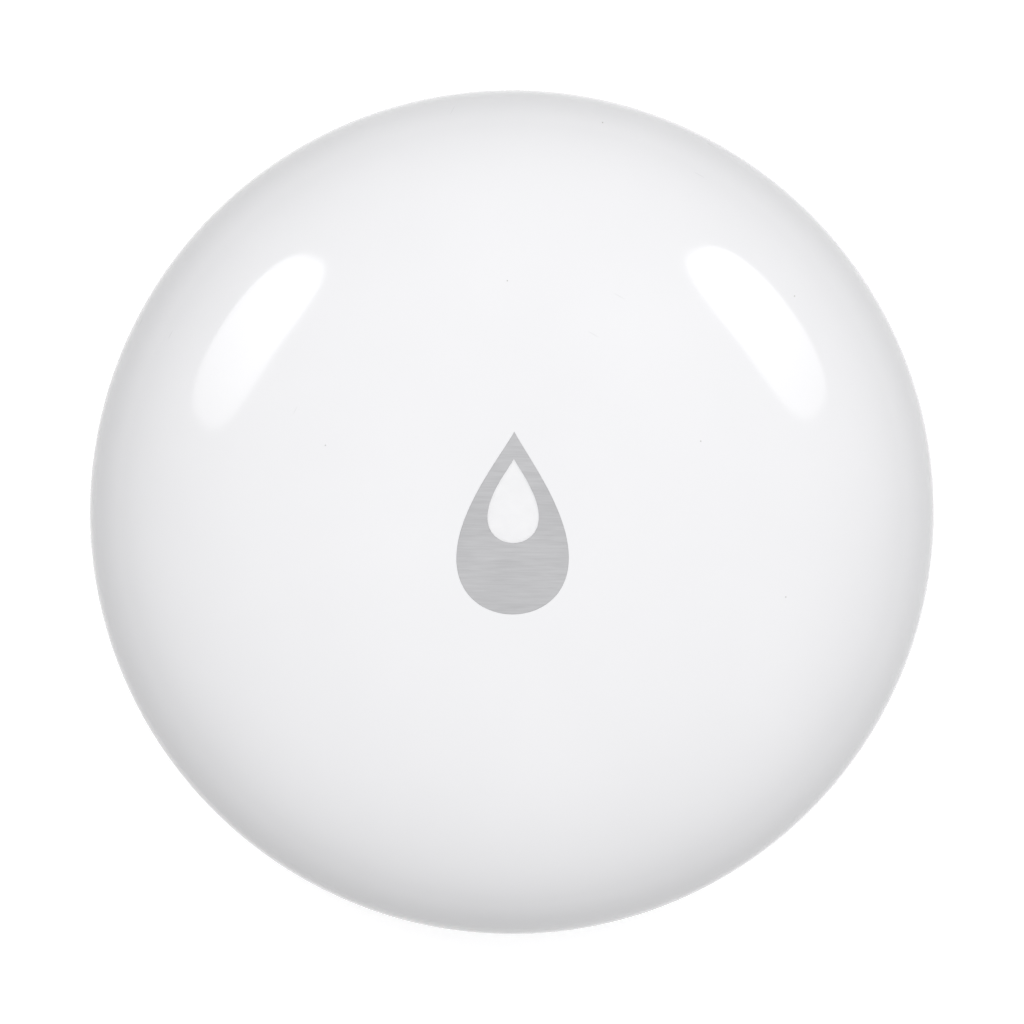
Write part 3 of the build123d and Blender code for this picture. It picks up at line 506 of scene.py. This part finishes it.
# Board screws: small pan-head steel screws, zinc plated, with a faint blue and straw cast.
# They cut their own thread in the bosses of the upper casing.
zinc_steel, _, _ = marked_finish(
    "zinc_plated_steel", tones=("#AEB6C0", "#C4C1B6"), gloss=(0.26, 0.40),
    mark=1.2, skin=0.08, depth=0.002, Metallic=1.0,
)
dress(zinc_steel, "board_screws")


# Chips: the radio and the memory, transfer-moulded epoxy packages, matt black with a fine
# filler grain. They are soldered to the top of the board.
chip_epoxy, _, _ = marked_finish(
    "black_chip_epoxy", tones=("#141517", "#26272A"), gloss=(0.46, 0.66),
    mark=0.06, skin=0.06, depth=0.006, IOR=1.55,
)
dress(chip_epoxy, "radio_chip", "flash_chip")


def turned_rings(tree, place, axis_x, pitch, depth):
    """Relief of fine rings round upright axes at plus and minus axis_x on the X axis.

    The rings are noise along sqrt((|x| - axis_x)^2 + y^2), their pitch and depth in millimetres.
    """
    split = add_node(tree, "ShaderNodeSeparateXYZ", {0: place})
    aside = add_node(tree, "ShaderNodeMath", {0: split.outputs["X"]}, operation="ABSOLUTE")
    off_axis = add_node(tree, "ShaderNodeMath", {
        0: aside.outputs[0], 1: axis_x * millimetre,
    }, operation="SUBTRACT")
    flat = add_node(tree, "ShaderNodeCombineXYZ", {
        "X": off_axis.outputs[0], "Y": split.outputs["Y"],
    })
    away = add_node(tree, "ShaderNodeVectorMath", {0: flat.outputs[0]}, operation="LENGTH")
    rings = add_node(tree, "ShaderNodeTexNoise", {
        "W": away.outputs["Value"], "Scale": 1 / (pitch * millimetre), "Detail": 3.0,
    }, noise_dimensions="1D")
    tree.links.new(rings.outputs["Fac"], tree.nodes["relief"].inputs["Height"])
    tree.nodes["relief"].inputs["Distance"].default_value = depth * millimetre


# Bright nickel: the crystal's can, the switch terminals and both shells of the coin cell,
# with the fine rings that drawing and tumbling leave.
bright_nickel, tree, place = marked_finish(
    "bright_nickel", tones=("#C6C2BB", "#D8D5CF"), gloss=(0.16, 0.30),
    mark=0.5, skin=0.5, depth=0.0015, Metallic=1.0,
)
turned_rings(tree, place, axis_x=0.0, pitch=0.09, depth=0.0015)
dress(bright_nickel, "crystal", "switch_terminals", "cell_can", "cell_cap")


# Antenna: a copper meander etched out of the top layer of the board, flashed and slightly
# dulled along its edges.
etched_copper, _, _ = marked_finish(
    "etched_copper", tones=("#B97A50", "#D79A6C"), gloss=(0.28, 0.46),
    mark=0.8, skin=0.1, depth=0.002, Metallic=1.0,
)
dress(etched_copper, "antenna_trace")


# Status lamp: a white ceramic body whose middle is filled with yellow phosphor in epoxy. It
# is soldered to the board under the light guide.
lamp_centre_y, phosphor_radius, phosphor_rim = 0.65, 0.28, 0.08
lamp_body, tree, place = marked_finish(
    "lamp_epoxy_and_ceramic", tones=("#F1F0EA", "#E9D35A"), gloss=(0.22, 0.28),
    mark=0.5, skin=0.1, depth=0.003, IOR=1.52,
)
split = add_node(tree, "ShaderNodeSeparateXYZ", {
    0: add_node(tree, "ShaderNodeMapping", {
        "Vector": place, "Location": (0, -lamp_centre_y * millimetre, 0),
    }).outputs["Vector"],
})
flat = add_node(tree, "ShaderNodeCombineXYZ", {"X": split.outputs["X"], "Y": split.outputs["Y"]})
from_middle = add_node(tree, "ShaderNodeVectorMath", {0: flat.outputs[0]}, operation="LENGTH")
phosphor = add_node(tree, "ShaderNodeMapRange", {
    "Value": from_middle.outputs["Value"],
    "From Min": (phosphor_radius + phosphor_rim) * millimetre,
    "From Max": phosphor_radius * millimetre,
})
tree.links.new(phosphor.outputs["Result"], tree.nodes["tone"].inputs["Factor"])
dress(lamp_body, "status_led")


# Push switch: a black glass-filled nylon body, and a plunger of the same nylon polished by
# use. The cell's ring is moulded from it too.
black_nylon, _, _ = marked_finish(
    "black_glass_nylon", tones=("#1C1D20", "#2E2F33"), gloss=(0.40, 0.58),
    mark=0.12, skin=0.12, depth=0.006, stretch=(6, 1, 1), IOR=1.53,
)
dress(black_nylon, "switch_body", "battery_holder")
plunger_nylon, _, _ = marked_finish(
    "polished_black_nylon", tones=("#151517", "#232326"), gloss=(0.18, 0.34),
    mark=0.4, skin=0.15, depth=0.002, IOR=1.53,
)
dress(plunger_nylon, "switch_plunger")


# Ceramic chips: brown capacitors and black resistors, each with tinned ends. Each chip is a
# small pillowed block that carries its own length along U.
chip_length, chip_width = 1.0, 0.5
capacitor_height, resistor_height = 0.5, 0.35
chip_columns, chip_corner = 24, 6
length_shares = np.array([0, 0.02, 0.06, 0.2, 0.24, 0.5, 0.76, 0.8, 0.94, 0.98, 1.0])
girth_shares = np.array([0.86, 0.96, 1.0, 1.0, 0.94, 0.94, 0.94, 1.0, 1.0, 0.96, 0.86])
bare_share = 0.28
radio_place, radio_width = np.array([7.5, 5.0]), 6.0
flash_place, flash_length = np.array([-8.5, 5.0]), 5.0
switch_place, switch_width = np.array([0.0, -3.9]), 4.5
capacitor_places = radio_place + radio_width * np.array([
    (-0.68, -0.43), (-0.68, 0.01), (-0.68, 0.45), (0.68, -0.43),
    (0.68, 0.01), (0.68, 0.45), (-1.79, 0.79), (-0.71, 1.06),
])
resistor_places = np.concatenate([
    flash_place + flash_length * np.array([(0.89, -0.51), (0.89, -0.11), (0.24, -1.49)]),
    switch_place + switch_width * np.array([(0.99, -0.40), (0.99, 0.00), (0.99, 0.40)]),
])


def chip_surface(place_xy, height):
    """One chip: rounded rectangles |y/a|^6 + |z/b|^6 = 1 carried along X, swelling at the
    tinned ends."""
    turn = np.linspace(0, 2 * pi, chip_columns, endpoint=False)
    across = np.sign(np.cos(turn)) * np.abs(np.cos(turn)) ** (2 / chip_corner) * chip_width / 2
    up = np.sign(np.sin(turn)) * np.abs(np.sin(turn)) ** (2 / chip_corner) * height / 2
    along, girth = length_shares[:, None], girth_shares[:, None]
    rings = np.stack(np.broadcast_arrays(
        place_xy[0] + (along - 0.5) * chip_length,
        place_xy[1] + girth * across,
        board_high + height / 2 + girth * up,
    ), axis=-1)
    return closed_surface([rings], poles=True)


def chip_row(name, places, height, material):
    """Chips in one piece, with U from 0 to 1 along each chip."""
    piece = place_piece(name, [chip_surface(place, height) for place in places], material)
    mesh = piece.data
    spots = np.empty(len(mesh.vertices) * 3, dtype=np.float32)
    mesh.vertices.foreach_get("co", spots)
    corners = np.empty(len(mesh.loops), dtype=np.int32)
    mesh.loops.foreach_get("vertex_index", corners)
    starts = np.repeat(places[:, 0] - chip_length / 2, len(mesh.vertices) // len(places))
    share = (spots.reshape(-1, 3)[:, 0] / millimetre - starts) / chip_length
    layer = mesh.uv_layers.new(name="chip_length")
    layer.data.foreach_set("uv", np.stack([share, share], axis=-1)[corners].reshape(-1))
    return piece


def tinned_ceramic(name, tones):
    """Fired ceramic between two tones, tinned where |U - 0.5| is over 0.28."""
    material, tree, _ = marked_finish(
        name, tones, gloss=(0.3, 0.5), mark=0.12, skin=0.12, depth=0.005, IOR=1.6,
    )
    share = add_node(tree, "ShaderNodeSeparateXYZ", {
        0: add_node(tree, "ShaderNodeUVMap", uv_map="chip_length").outputs["UV"],
    }).outputs["X"]
    off_middle = add_node(tree, "ShaderNodeMath", {0: share, 1: 0.5}, operation="SUBTRACT")
    reach = add_node(tree, "ShaderNodeMath", {0: off_middle.outputs[0]}, operation="ABSOLUTE")
    tinned = add_node(tree, "ShaderNodeMath", {
        0: reach.outputs[0], 1: bare_share,
    }, operation="GREATER_THAN")
    ends = add_node(tree, "ShaderNodeMix", {
        "Factor": tinned.outputs[0], 6: tree.nodes["tone"].outputs[2], 7: linear("#C8C8C6"),
    }, data_type="RGBA")
    shader = tree.nodes["Principled BSDF"]
    tree.links.new(ends.outputs[2], shader.inputs["Base Color"])
    tree.links.new(tinned.outputs[0], shader.inputs["Metallic"])
    return material


brown_ceramic = tinned_ceramic("fired_brown_ceramic", ("#8C6A4C", "#A07E5E"))
capacitors = chip_row("ceramic_capacitors", capacitor_places, capacitor_height, brown_ceramic)
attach(capacitors, "housing")
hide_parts("chip_capacitors")
black_ceramic = tinned_ceramic("fired_black_ceramic", ("#1D1E22", "#2A2B30"))
resistors = chip_row("ceramic_resistors", resistor_places, resistor_height, black_ceramic)
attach(resistors, "housing")
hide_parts("chip_resistors")


# Spring contacts: strips of phosphor bronze with a thin flash of gold, stamped and bent, and
# soldered under the board.
spring_bronze, _, _ = marked_finish(
    "gold_flashed_bronze", tones=("#CDA156", "#E2BC74"), gloss=(0.2, 0.34),
    mark=0.1, skin=0.1, depth=0.0015, stretch=(12, 1, 1), Metallic=1.0,
)
dress(spring_bronze, "negative_contact", "positive_contact", "probe_contacts")


# O-rings: black nitrile rubber round the neck of the cover and under the probe heads, with a
# dry, slightly powdery skin.
nitrile_rubber, _, _ = marked_finish(
    "black_nitrile_rubber", tones=("#141415", "#2A2A2B"), gloss=(0.5, 0.72),
    mark=0.35, skin=0.08, depth=0.003, IOR=1.52,
)
dress(nitrile_rubber, "cover_seal", "probe_seals")


# Probes: two stainless screws through the cover, turned and passivated, and the hex nuts that
# hold them from inside. The turning marks run round each probe's own axis.
probe_circle = 12.8
stainless, tree, place = marked_finish(
    "turned_stainless_steel", tones=("#999A9D", "#ADAEB1"), gloss=(0.18, 0.32),
    mark=0.6, skin=0.6, depth=0.002, Metallic=1.0,
)
turned_rings(tree, place, axis_x=probe_circle, pitch=0.07, depth=0.002)
dress(stainless, "probe_screws", "probe_nuts")


# Floor: a plain pale table. To the camera, and in gloss and glass, it is white; it keeps the
# object's soft shadow. Seen from below it isn't there, so that the underside shows.
floor_half = 2.0
table_glow = 0.35
floor_mesh = bpy.data.meshes.new("floor")
floor_mesh.from_pydata(
    [(-floor_half, -floor_half, 0), (floor_half, -floor_half, 0),
     (floor_half, floor_half, 0), (-floor_half, floor_half, 0)],
    [], [(0, 1, 2, 3)],
)
floor = bpy.data.objects.new("floor", floor_mesh)
scene.collection.objects.link(floor)
floor_paint = bpy.data.materials.new("matt_white_table")
floor_paint.use_nodes = True
floor_paint.node_tree.nodes.clear()


def seen_rays(tree):
    """1 for the rays that show a background: the camera's, and those of gloss and glass."""
    rays = add_node(tree, "ShaderNodeLightPath").outputs
    direct = add_node(tree, "ShaderNodeMath", {
        0: rays["Is Camera Ray"], 1: rays["Is Glossy Ray"],
    }, operation="MAXIMUM").outputs[0]
    return add_node(tree, "ShaderNodeMath", {
        0: direct, 1: rays["Is Transmission Ray"],
    }, operation="MAXIMUM").outputs[0]


tree = floor_paint.node_tree
matt = add_node(tree, "ShaderNodeBsdfDiffuse", {"Color": linear("#6C6C6D")}).outputs[0]
glow = add_node(tree, "ShaderNodeEmission", {
    "Color": (1, 1, 1, 1), "Strength": table_glow,
}).outputs[0]
pale_matt = add_node(tree, "ShaderNodeBsdfDiffuse", {"Color": linear("#F7F7F7")}).outputs[0]
lit_table = add_node(tree, "ShaderNodeAddShader", {0: glow, 1: pale_matt}).outputs[0]
table = add_node(tree, "ShaderNodeMixShader", {
    0: seen_rays(tree), 1: matt, 2: lit_table,
}).outputs[0]
gone = add_node(tree, "ShaderNodeBsdfTransparent").outputs[0]
behind = add_node(tree, "ShaderNodeNewGeometry").outputs["Backfacing"]
one_sided = add_node(tree, "ShaderNodeMixShader", {0: behind, 1: table, 2: gone}).outputs[0]
lamps_pass = add_node(tree, "ShaderNodeMixShader", {
    0: add_node(tree, "ShaderNodeLightPath").outputs["Is Shadow Ray"], 1: one_sided, 2: gone,
}).outputs[0]
add_node(tree, "ShaderNodeOutputMaterial", {"Surface": lamps_pass})
floor_mesh.materials.append(floor_paint)


# Studio: soft light from all round, strongest overhead, a little stronger from the right and
# the back, and none from below. To the camera, and in gloss and glass, the room is white. Two
# softboxes stand over the dome, and a lamp under the table lights only the underside.
room_level, overhead_gain, overhead_power = 0.4, 1.26, 4.0
side_lean = (0.12, 0.03, 0.0)
softbox_wide, softbox_high = 0.285, 0.226
softbox_corner, softbox_core = 2.8, 0.85
cool_end_share, warm_from = 0.46, 0.5
studio = bpy.data.worlds.new("studio")
scene.world = studio
studio.use_nodes = True
tree = studio.node_tree
tree.nodes.clear()
ray_way = add_node(tree, "ShaderNodeTexCoord").outputs["Generated"]
rise = add_node(tree, "ShaderNodeSeparateXYZ", {0: ray_way}).outputs["Z"]
above = add_node(tree, "ShaderNodeMath", {0: rise, 1: 0.0}, operation="GREATER_THAN").outputs[0]
upward = add_node(tree, "ShaderNodeMath", {0: rise, 1: 0.0}, operation="MAXIMUM").outputs[0]
steep = add_node(tree, "ShaderNodeMath", {
    0: upward, 1: overhead_power,
}, operation="POWER").outputs[0]
from_above = add_node(tree, "ShaderNodeMath", {
    0: steep, 1: overhead_gain, 2: room_level,
}, operation="MULTIPLY_ADD").outputs[0]
side_on = add_node(tree, "ShaderNodeVectorMath", {
    0: ray_way, 1: side_lean,
}, operation="DOT_PRODUCT").outputs["Value"]
whole = add_node(tree, "ShaderNodeMath", {0: from_above, 1: side_on}, operation="ADD").outputs[0]
strength = add_node(tree, "ShaderNodeMath", {0: whole, 1: above}, operation="MULTIPLY").outputs[0]
level = add_node(tree, "ShaderNodeMix", {
    0: seen_rays(tree), 2: strength, 3: 1.0,
}, data_type="FLOAT").outputs[0]
room = add_node(tree, "ShaderNodeBackground", {
    "Color": (1, 1, 1, 1), "Strength": level,
}).outputs[0]
add_node(tree, "ShaderNodeOutputWorld", {"Surface": room})


def softbox(name, azimuth, tilt, wide, high, radiance, hot_end=0.0, distance=0.6):
    """Lamp that faces the object: at the distance, along (sin t cos a, sin t sin a, cos t).

    An area lamp of power P and area A has radiance P / (pi A). Its face is the superellipse
    |x|^2.8 + |y|^2.8 < 1, soft at its rim, and fades away from its hot end, +1 or -1 along x.
    At 0 it has none and is even.
    """
    lamp = bpy.data.lights.new(name, "AREA")
    lamp.shape = "RECTANGLE"
    lamp.size, lamp.size_y = wide, high
    lamp.energy = radiance * pi * wide * high
    lamp.use_nodes = True
    tree = lamp.node_tree
    on_face = add_node(tree, "ShaderNodeMapping", {
        "Vector": add_node(tree, "ShaderNodeNewGeometry").outputs["Parametric"],
        "Location": (-1, -1, 0), "Scale": (2, 2, 0),
    }).outputs["Vector"]
    split = add_node(tree, "ShaderNodeSeparateXYZ", {0: on_face})
    off_middle = [
        add_node(tree, "ShaderNodeMath", {0: split.outputs[axis]}, operation="ABSOLUTE").outputs[0]
        for axis in ("X", "Y")
    ]
    powers = [
        add_node(tree, "ShaderNodeMath", {0: off, 1: softbox_corner}, operation="POWER").outputs[0]
        for off in off_middle
    ]
    reach = add_node(tree, "ShaderNodeMath", {
        0: powers[0], 1: powers[1],
    }, operation="ADD").outputs[0]
    face = add_node(tree, "ShaderNodeMapRange", {
        "Value": reach, "From Min": 1.0, "From Max": softbox_core,
    }, interpolation_type="SMOOTHSTEP").outputs["Result"]
    towards = add_node(tree, "ShaderNodeMath", {
        0: split.outputs["X"], 1: hot_end,
    }, operation="MULTIPLY").outputs[0]
    fade = add_node(tree, "ShaderNodeMapRange", {
        "Value": towards, "From Min": -1.0, "From Max": warm_from,
        "To Min": cool_end_share, "To Max": 1.0,
    }, interpolation_type="SMOOTHSTEP").outputs["Result"]
    shine = add_node(tree, "ShaderNodeMath", {0: face, 1: fade}, operation="MULTIPLY").outputs[0]
    tree.links.new(shine, tree.nodes["Emission"].inputs["Strength"])
    holder = bpy.data.objects.new(name, lamp)
    away = Vector((sin(tilt) * cos(azimuth), sin(tilt) * sin(azimuth), cos(tilt)))
    holder.location = away * distance
    holder.rotation_euler = away.to_track_quat("Z", "Y").to_euler()
    scene.collection.objects.link(holder)
    return holder


softbox(
    "softbox_left", azimuth=radians(146.5), tilt=radians(45.5),
    wide=softbox_wide, high=softbox_high, radiance=3.4, hot_end=-1,
)
softbox(
    "softbox_right", azimuth=radians(37.0), tilt=radians(45.2),
    wide=softbox_wide, high=softbox_high, radiance=3.3, hot_end=1,
)
light_table = softbox(
    "light_table", azimuth=0.0, tilt=radians(180), wide=0.2, high=0.2, radiance=165.0, distance=1.5,
)
light_table.visible_glossy = False


# Camera: above, far off with a long lens, so that the rim spans 844 of the 1024 pixels. Its
# place to the left and its roll of under a degree are fitted, so that the drop lies where the
# photograph shows it.
camera_aside, camera_height, camera_roll = -0.0105, 1.5, 0.0135
frame_width, sensor_width = 0.06066, 36.0
camera_rise = camera_height - rim_height * millimetre
long_lens = bpy.data.cameras.new("overhead")
long_lens.sensor_width = sensor_width
long_lens.lens = sensor_width * camera_rise / frame_width
long_lens.clip_end = 10.0
camera = bpy.data.objects.new("overhead", long_lens)
camera.location = (
    camera_aside * cos(camera_roll), camera_aside * sin(camera_roll), camera_height,
)
camera.rotation_euler = (0, camera_aside / camera_rise, camera_roll)
scene.collection.objects.link(camera)
scene.camera = camera
